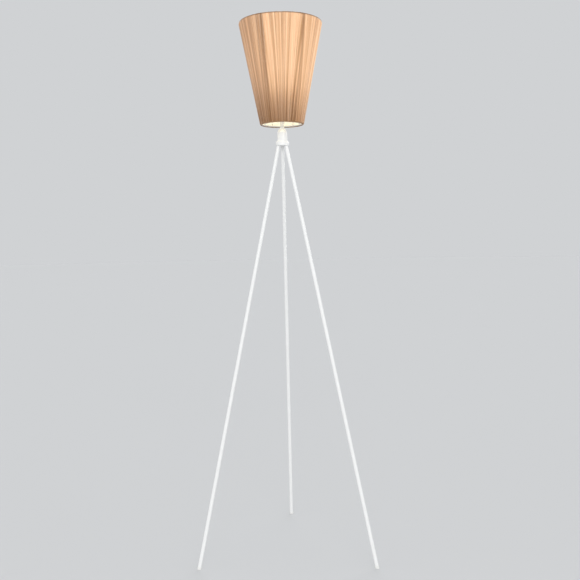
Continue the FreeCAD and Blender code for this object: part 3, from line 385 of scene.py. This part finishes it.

# Tone, glow, and how much painted shade darkens the tone and dims the glow towards the bottom, of
# the six runs of thread between the bands, from the front one round to the left one. The darker
# tones and weaker glows of some runs, most of all the left one, are painted shade of the side away
# from the light. RUN_FAN is how much a run's streaks close in on its middle towards the bottom.
RUN_SHADE_TONES = (0.0, 0.0, -0.06, 0.02, -0.08, -0.10)
RUN_GLOWS = (1.0, 0.96, 0.9, 1.0, 0.85, 0.56)
RUN_BOTTOM_SHADES = (1.0, 0.6, 0.9, 1.0, 0.8, 1.0)
RUN_STEP = math.radians(60)
RUN_FAN = 0.4

# Streaks round the shade: how many cells each of the three noises has, broad, fine and
# finer, and what the last two add to a streak.
STREAK_CELLS = (14, 84, 200)
FINE_SHARE = 0.35
FINER_SHARE = 0.85

# A paler line down the lower front of the wall, which fades out partway up.
PALE_LINE_AZIMUTH = math.radians(-88.6)
PALE_LINE_WIDTH = math.radians(1.2)
PALE_LINE_TOP = 0.6

# Where the thread lies in the clearest ridges and gaps, and how much clearer they are.
RIDGED_AZIMUTH = math.radians(-68)
RIDGED_WIDTH = math.radians(17)
RIDGED_GAIN = 0.9

# Tone of a strand, 0 to 1: on its hooks, where the low tone is painted shade round the rings, and
# on the wall, and how far it is changed there by noise and streaks, a pale line, darker bands, and
# painted shade between the bunched strands below a set share of the way up.
OWN_TONE = 0.06
BOTTOM_HOOK_SHADED_TONE = 0.35
TOP_HOOK_SHADED_TONE = 0.05
HOOK_OWN_TONE = 0.3
WALL_TONE = 0.68
BROAD_TONE = 0.03
STREAK_TONE = 0.26
PALE_LINE_TONE = 0.30
BAND_DARKENING = 0.28
BOTTOM_SHADE_TONE = 0.44
BOTTOM_SHADE_TOP = 0.38

# Glow of a strand, 0 to 1, a painted glow that stands in for the light from inside: how much
# streaks and the darker bands change it, how much is missing at the bottom, up to UNLIT_TOP, and
# again above RIM_START.
WALL_GLOW = 0.84
STREAK_GLOW = 0.35
BAND_GLOW_LOSS = 0.7
UNLIT_BOTTOM = 0.8
UNLIT_TOP = 0.42
UNLIT_CURVE = 1.3
RIM_LOSS = 0.6
RIM_START = 0.85


def apart(azimuth, other):
    """The turn between two azimuths, from -pi to pi."""
    return (azimuth - other + math.pi) % (2 * math.pi) - math.pi


def band_and_run(azimuth, share):
    """How deep in a band a point of the wall lies, 0 to 1, and its run's number."""
    spread = BAND_SPREAD_BOTTOM + (BAND_SPREAD_TOP - BAND_SPREAD_BOTTOM) * share
    turns = [apart(azimuth, band_middle) for band_middle in BAND_MIDDLES]
    nearest = min(range(len(turns)), key=lambda number: abs(turns[number]))
    past = abs(turns[nearest]) - spread
    run = 2 * nearest
    if past > 0:
        run += 1 if turns[nearest] > 0 else -1
    depth = RIGHT_BAND_DEPTH if turns[nearest] > 0 else LEFT_BAND_DEPTH
    return depth * math.exp(-(past / BAND_WIDTH) ** 2), run % len(RUN_SHADE_TONES)


def strand_section(offset, short_hook):
    """Points (radius, height, share of the way up) of one strand: from under the bottom
    ring, up the wall and over the top ring. The share is below 0 and above 1 on the hooks."""
    under = BOTTOM_HOOK_TURN - FLARE
    over = (SHORT_HOOK_TURN if short_hook else TOP_HOOK_TURN) + FLARE
    points = []
    for step in range(HOOK_STEPS):
        share = step / HOOK_STEPS - 1
        points.append((BOTTOM_RADIUS, BOTTOM_LEVEL, under * share - FLARE, share))
    for share in RUN_SHARES:
        radius = BOTTOM_RADIUS + (TOP_RADIUS - BOTTOM_RADIUS) * share
        level = BOTTOM_LEVEL + (TOP_LEVEL - BOTTOM_LEVEL) * share
        points.append((radius, level, -FLARE, share))
    for step in range(1, HOOK_STEPS + 1):
        share = step / HOOK_STEPS
        points.append((TOP_RADIUS, TOP_LEVEL, over * share - FLARE, 1 + share))
    return [
        (radius + offset * math.cos(angle), level + offset * math.sin(angle), share)
        for radius, level, angle, share in points
    ]


def on_wall(azimuth, radius, level):
    across = AXIS_X + radius * math.cos(azimuth)
    along = AXIS_Y + radius * math.sin(azimuth)
    return Vector((across, along, level))


def near_strut(azimuth):
    away = (azimuth + STRUT_STEP / 2) % STRUT_STEP - STRUT_STEP / 2
    return abs(away) < STRUT_CLEARANCE


class StrandMesh:
    """Closed tubes of several strands in one mesh, each point with its tone and its glow."""

    def __init__(self):
        self.corners = []
        self.faces = []
        self.tones = []
        self.glows = []
        self.windings = []

    def add(self, path, tones, glows):
        first = len(self.corners)
        lengths = [0.0]
        for before, after in zip(path, path[1:]):
            lengths.append(lengths[-1] + (after - before).length / TWIST_PITCH)
        for index, point in enumerate(path):
            before = path[max(index - 1, 0)]
            after = path[min(index + 1, len(path) - 1)]
            along = (after - before).normalized()
            outward = Vector((point.x - AXIS_X, point.y - AXIS_Y, 0))
            side = Vector((0, 0, 1)).cross(outward).normalized()
            normal = side.cross(along).normalized()
            for corner in range(STRAND_SIDES):
                turn = 2 * math.pi * corner / STRAND_SIDES
                offset = side * math.cos(turn) + normal * math.sin(turn)
                self.corners.append(point + offset * THREAD_RADIUS)
            self.tones.extend([tones[index]] * STRAND_SIDES)
            self.glows.extend([glows[index]] * STRAND_SIDES)
        for index in range(len(path) - 1):
            low = first + index * STRAND_SIDES
            high = low + STRAND_SIDES
            bottom, top = lengths[index], lengths[index + 1]
            for corner in range(STRAND_SIDES):
                after = (corner + 1) % STRAND_SIDES
                self.faces.append((low + corner, low + after, high + after, high + corner))
                here, onward = corner / STRAND_SIDES, (corner + 1) / STRAND_SIDES
                self.windings.extend((here, bottom, onward, bottom, onward, top, here, top))
        last = len(self.corners) - STRAND_SIDES
        self.faces.append(tuple(first + corner for corner in reversed(range(STRAND_SIDES))))
        self.faces.append(tuple(last + corner for corner in range(STRAND_SIDES)))
        self.windings.extend([0.0] * (4 * STRAND_SIDES))

    def build(self, name, material):
        mesh = bpy.data.meshes.new(name)
        mesh.from_pydata(self.corners, [], self.faces)
        mesh.shade_smooth()
        for attribute, levels in (("tone", self.tones), ("glow", self.glows)):
            layer = mesh.attributes.new(attribute, "FLOAT", "POINT")
            layer.data.foreach_set("value", levels)
        mesh.uv_layers.new(name="strand").data.foreach_set("uv", self.windings)
        mesh.materials.append(material)
        piece = bpy.data.objects.new(name, mesh)
        bpy.context.scene.collection.objects.link(piece)
        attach(piece, "shade")
        return piece


def smooth_noise(source, count):
    """Smooth random levels from -1 to 1 round the shade, read by an azimuth."""
    levels = [source.uniform(-1, 1) for _ in range(count)]

    def read(azimuth):
        place = (azimuth / (2 * math.pi) % 1) * count
        low = int(place)
        share = place - low
        share = share * share * (3 - 2 * share)
        return levels[low % count] * (1 - share) + levels[(low + 1) % count] * share

    return read


def strand_look(azimuth, share, own, streaks):
    """Tone and glow of a strand, at a share of the way from ring to ring."""
    # The low tone on the hooks is painted shade round the rings; they get no painted glow.
    if share < 0:
        return BOTTOM_HOOK_SHADED_TONE + HOOK_OWN_TONE * own, 0.0
    if share > 1:
        return TOP_HOOK_SHADED_TONE + HOOK_OWN_TONE * own, 0.0
    banding, run = band_and_run(azimuth, share)
    off_middle = apart(azimuth, BAND_MIDDLES[0] + run * RUN_STEP)
    place = azimuth + RUN_FAN * (1 - share) * off_middle
    broad, fine, finer = streaks
    ridged = math.exp(-(apart(azimuth, RIDGED_AZIMUTH) / RIDGED_WIDTH) ** 2)
    streak = FINE_SHARE * fine(place) + FINER_SHARE * finer(place)
    streak *= 1 + RIDGED_GAIN * ridged * (1 - share)
    pale_line = math.exp(-(apart(azimuth, PALE_LINE_AZIMUTH) / PALE_LINE_WIDTH) ** 2)
    pale_line *= max(0.0, 1 - share / PALE_LINE_TOP)
    # Painted shade between the bunched strands: the tone darkens towards the bottom, more in some
    # runs.
    bottom_shade = RUN_BOTTOM_SHADES[run] * max(0.0, 1 - share / BOTTOM_SHADE_TOP)
    tone = WALL_TONE + BROAD_TONE * broad(azimuth) + STREAK_TONE * streak + own + RUN_SHADE_TONES[run]
    tone += PALE_LINE_TONE * pale_line - BAND_DARKENING * banding - BOTTOM_SHADE_TONE * bottom_shade
    unlit = UNLIT_BOTTOM * (1 - min(1.0, share / UNLIT_TOP) ** UNLIT_CURVE)
    lit = 1 - RUN_BOTTOM_SHADES[run] * unlit - RIM_LOSS * max(0.0, share - RIM_START)
    glow = lit * RUN_GLOWS[run] * (WALL_GLOW + STREAK_GLOW * streak) * (1 - BAND_GLOW_LOSS * banding)
    return max(0.0, min(1.0, tone)), max(0.0, min(1.0, glow))


def wound_layer(name, material, count, offset, unevenness, lean, seed):
    """One layer of strands from ring to ring, unevenly spaced and leaning a little."""
    source = random.Random(seed)
    streaks = [smooth_noise(source, cells) for cells in STREAK_CELLS]
    bundle_lean = smooth_noise(source, LEAN_CELLS)
    mesh = StrandMesh()
    for number in range(count):
        top = 2 * math.pi * (number + source.uniform(-unevenness, unevenness)) / count
        bottom = top + lean * bundle_lean(top) + source.gauss(0, lean * OWN_LEAN)
        own = source.gauss(0, OWN_TONE)
        lift = offset + (number % 2) * ALTERNATE_LIFT
        phase = source.uniform(0, 2 * math.pi)
        path, tones, glows = [], [], []
        for radius, level, share in strand_section(lift, near_strut(top) or near_strut(bottom)):
            up = max(0.0, min(1.0, share))
            azimuth = bottom + (top - bottom) * up + SWAY * math.sin(phase + SWAY_TURN * up)
            path.append(on_wall(azimuth, radius, level))
            tone, glow = strand_look(azimuth, share, own, streaks)
            tones.append(tone)
            glows.append(glow)
        mesh.add(path, tones, glows)
    return mesh.build(name, material)


def wind_thread(material):
    inner = WALL_OUTSIDE - WRAP_THICKNESS + THREAD_RADIUS
    under = wound_layer("shade_thread_under", material, UNDER_STRANDS, inner,
                        UNDER_UNEVENNESS, UNDER_LEAN, UNDER_SEED)
    wound_layer("shade_thread_over", material, OVER_STRANDS, inner + OVER_OUTWARDS,
                OVER_UNEVENNESS, OVER_LEAN, OVER_SEED)
    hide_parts("shade_thread_wrap")


# ---------------------------------------------------------------- stage and light

BACKGROUND = (0.631, 0.644, 0.658)
SUNS = (
    # name, bearing from the lamp (0 = towards the camera, + to its right), elevation,
    # strength, angular size
    ("key", 6, 18, 0.9, 40),
    ("fill_left", -58, 14, 0.6, 70),
    ("fill_right", 62, 14, 0.6, 70),
    ("back", 165, 24, 1.1, 60),
)
FLOOR_RADIUS = 30
FLOOR_SIDES = 64
# Part of a sun this wide and low is below the floor, and takes nothing from the rest, so
# the floor gets this much more light than the suns' middles would give it.
WIDE_SUN_GAIN = 1.05


def floor_reflectance():
    """The reflectance that makes the lit floor as bright as the background."""
    light = WIDE_SUN_GAIN / math.pi * sum(
        strength * math.sin(math.radians(elevation))
        for name, bearing, elevation, strength, size in SUNS
    )
    return tuple(channel / (channel + light) for channel in BACKGROUND)


def make_stage():
    mesh = bpy.data.meshes.new("floor")
    turns = [2 * math.pi * side / FLOOR_SIDES for side in range(FLOOR_SIDES)]
    rim = [(FLOOR_RADIUS * math.cos(turn), FLOOR_RADIUS * math.sin(turn), 0) for turn in turns]
    mesh.from_pydata(rim, [], [tuple(range(FLOOR_SIDES))])
    floor = bpy.data.objects.new("floor", mesh)
    bpy.context.scene.collection.objects.link(floor)
    nodes = Nodes("floor", floor_reflectance(), 0.9)
    nodes.fixed(Specular_IOR_Level=0.0)
    mesh.materials.append(nodes.material)

    world = bpy.data.worlds.new("world")
    bpy.context.scene.world = world
    world.use_nodes = True
    background = world.node_tree.nodes["Background"]
    background.inputs["Color"].default_value = (*BACKGROUND, 1)
    background.inputs["Strength"].default_value = 1.0


def make_lights():
    for name, bearing, elevation, strength, size in SUNS:
        data = bpy.data.lights.new(name, "SUN")
        data.energy = strength
        data.angle = math.radians(size)
        light = bpy.data.objects.new(name, data)
        bpy.context.scene.collection.objects.link(light)
        turn = Matrix.Rotation(CAMERA_BEARING + math.radians(bearing), 4, "Z")
        light.matrix_world = turn @ Matrix.Rotation(math.radians(90 - elevation), 4, "X")


make_camera()
materials = dress_cad_nodes()
wind_thread(materials["shade_thread"])
make_stage()
make_lights()
scene = bpy.context.scene
scene.view_settings.view_transform = "Standard"
